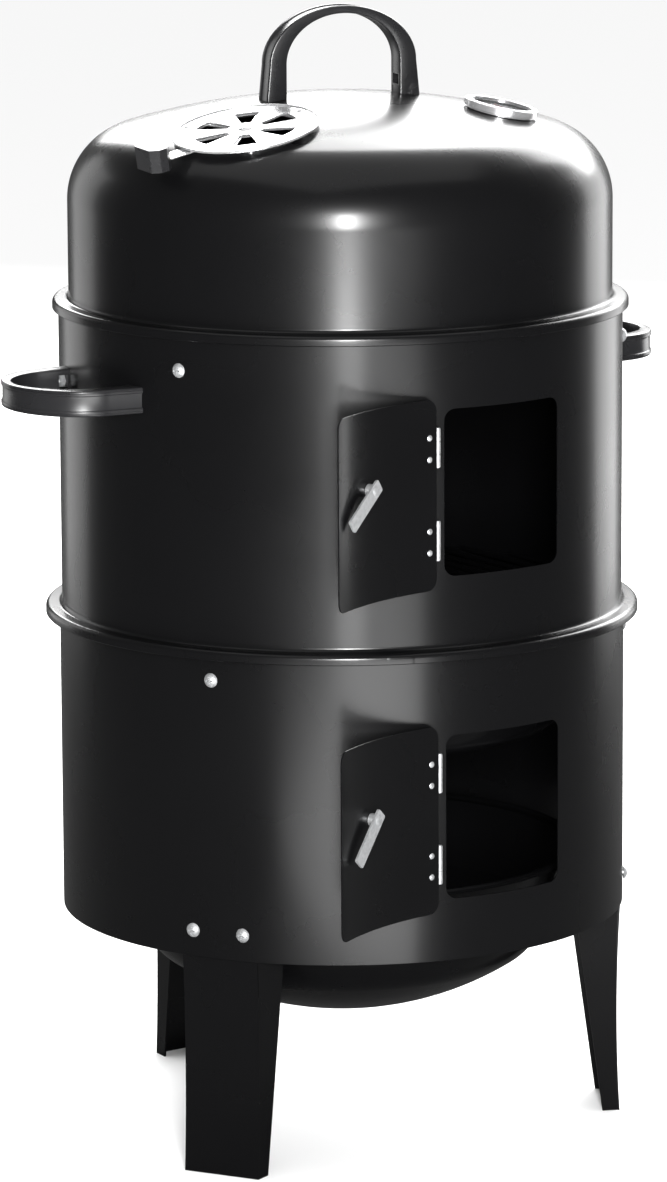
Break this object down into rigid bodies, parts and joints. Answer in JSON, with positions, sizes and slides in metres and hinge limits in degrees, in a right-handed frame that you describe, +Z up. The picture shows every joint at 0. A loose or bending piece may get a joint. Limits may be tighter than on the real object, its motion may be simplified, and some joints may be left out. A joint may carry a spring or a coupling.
{
  "type": "vertical water smoker",
  "caption": "Upright charcoal water smoker: two stacked drums with hinged doors, a domed lid with a vent and a thermometer, arched handles and three folded legs.",
  "frame": {"origin": "on the ground, below the axis of the drums", "axes": "+Z up, the doorways face -Y, +X to the right of someone facing the doorways"},
  "size_m": [0.5223, 0.4406, 0.7937],
  "materials": {
    "enamel": "gloss",
    "zinc": "satin",
    "chrome": "polished",
    "bakelite": "satin",
    "dial": "matte",
    "needle": "matte",
    "glass": "clear"
  },
  "bodies": {
    "base": {"lower_drum": "enamel", "leg_front_left": "enamel", "leg_right": "enamel", "leg_back": "enamel", "leg_screws": "zinc", "leg_nuts": "zinc", "lower_brackets": "zinc", "lower_bracket_screws": "zinc", "lower_bracket_nuts": "zinc", "lower_hinge_frame_leaves": "zinc", "lower_hinge_pins": "zinc", "lower_frame_rivets": "zinc"},
    "fire_door": {"lower_door": "enamel", "lower_hinge_door_leaves": "zinc", "lower_door_rivets": "zinc"},
    "fire_latch": {"lower_latch_bar": "zinc", "lower_latch_spindle": "zinc", "lower_latch_knob": "bakelite"},
    "coal_pan": {"charcoal_pan": "enamel"},
    "water_bowl": {"water_pan": "enamel"},
    "low_grate": {"lower_grate": "enamel"},
    "upper_section": {"upper_drum": "enamel", "upper_brackets": "zinc", "upper_bracket_screws": "zinc", "upper_bracket_nuts": "zinc", "upper_hinge_frame_leaves": "zinc", "upper_hinge_pins": "zinc", "upper_frame_rivets": "zinc", "left_handle": "bakelite", "right_handle": "bakelite", "side_handle_screws": "zinc", "side_handle_nuts": "zinc"},
    "food_door": {"upper_door": "enamel", "upper_hinge_door_leaves": "zinc", "upper_door_rivets": "zinc"},
    "food_latch": {"upper_latch_bar": "zinc", "upper_latch_spindle": "zinc", "upper_latch_knob": "bakelite"},
    "high_grate": {"upper_grate": "enamel"},
    "lid": {"lid_shell": "enamel", "lid_handle": "bakelite", "lid_handle_screws": "zinc", "lid_handle_nuts": "zinc", "vent_cover": "chrome", "vent_pivot": "chrome", "vent_rivets": "chrome", "thermometer_case": "chrome", "thermometer_bezel": "chrome", "thermometer_dial": "dial", "thermometer_glass": "glass", "thermometer_probe": "chrome", "thermometer_nut": "chrome"},
    "damper": {"vent_damper": "chrome", "vent_knob": "bakelite"},
    "needle": {"thermometer_needle": "needle"}
  },
  "joints": [
    {"name": "upper_section_lift", "type": "slide", "parent": "base", "child": "upper_section", "axis": [0, 0, 1], "range_m": [0, 0.15]},
    {"name": "lid_lift", "type": "slide", "parent": "upper_section", "child": "lid", "axis": [0, 0, 1], "range_m": [0, 0.15]},
    {"name": "upper_grate_lift", "type": "slide", "parent": "upper_section", "child": "high_grate", "axis": [0, 0, 1], "range_m": [0, 0.05]},
    {"name": "water_pan_lift", "type": "slide", "parent": "base", "child": "water_bowl", "axis": [0, 0, 1], "range_m": [0, 0.04]},
    {"name": "lower_grate_lift", "type": "slide", "parent": "water_bowl", "child": "low_grate", "axis": [0, 0, 1], "range_m": [0, 0.04]},
    {"name": "charcoal_pan_lift", "type": "slide", "parent": "base", "child": "coal_pan", "axis": [0, 0, 1], "range_m": [0, 0.06]},
    {"name": "lower_door_hinge", "type": "hinge", "parent": "base", "child": "fire_door", "pos_m": [-0.0535, -0.19515, 0.2557], "axis": [0, 0, 1], "range_deg": [-6, 163]},
    {"name": "lower_latch_turn", "type": "hinge", "parent": "fire_door", "child": "fire_latch", "pos_m": [-0.11997, -0.21586, 0.2677], "axis": [-0.3703, 0.9289, 0], "range_deg": [-42, 48]},
    {"name": "upper_door_hinge", "type": "hinge", "parent": "upper_section", "child": "food_door", "pos_m": [-0.0535, -0.19349, 0.4805], "axis": [0, 0, 1], "range_deg": [-6, 163]},
    {"name": "upper_latch_turn", "type": "hinge", "parent": "food_door", "child": "food_latch", "pos_m": [-0.11999, -0.21415, 0.4925], "axis": [-0.3709, 0.9287, 0], "range_deg": [-54, 36]},
    {"name": "vent_damper_turn", "type": "hinge", "parent": "lid", "child": "damper", "pos_m": [-0.11154, -0.04966, 0.71796], "axis": [-0.2032, -0.0905, 0.975], "range_deg": [-4, 22]},
    {"name": "thermometer_needle_turn", "type": "hinge", "parent": "lid", "child": "needle", "pos_m": [0.08272, -0.07713, 0.71994], "axis": [0.1507, -0.1405, 0.9785], "range_deg": [-260, 5]}
  ]
}
